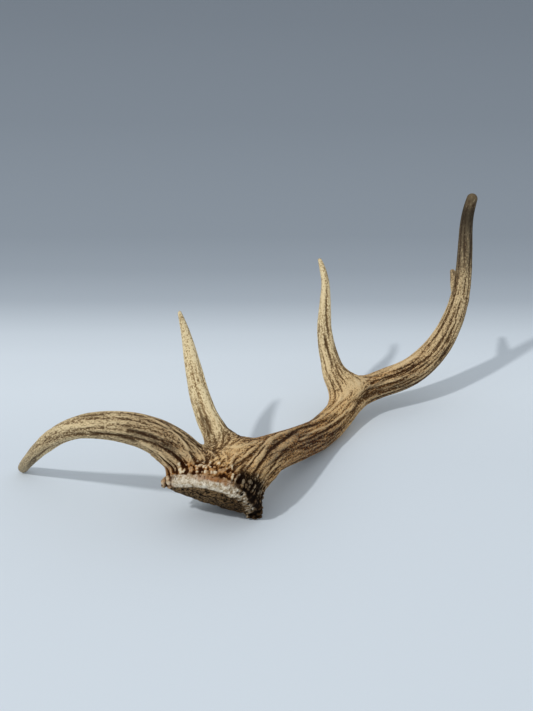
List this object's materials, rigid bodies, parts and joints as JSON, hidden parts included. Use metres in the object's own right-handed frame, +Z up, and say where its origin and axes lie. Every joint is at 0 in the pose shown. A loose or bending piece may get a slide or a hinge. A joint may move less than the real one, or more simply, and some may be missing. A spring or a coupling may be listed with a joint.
{
  "type": "deer_antler",
  "caption": "Shed deer antler with an arched brow tine, upright bez and trez tines, a knobbed burr and a long upswept beam; lies on a table on its tine tip, burr and beam.",
  "frame": {"origin": "centre of the footprint on the table, at table height", "axes": "+X along the antler from the brow tine tip to the beam tip, +Y away from the seal side, +Z up as it lies"},
  "size_m": [0.4808, 0.3622, 0.235],
  "materials": {
    "antler_beam": "matte, grooved",
    "antler_tine": "satin, worn",
    "antler_pale": "satin, polished by rubbing"
  },
  "bodies": {
    "root": {"brow_tine": "antler_tine", "bez_tine": "antler_pale", "trez_tine": "antler_pale", "upper_beam": "antler_tine", "lower_beam": "antler_beam"}
  },
  "joints": []
}
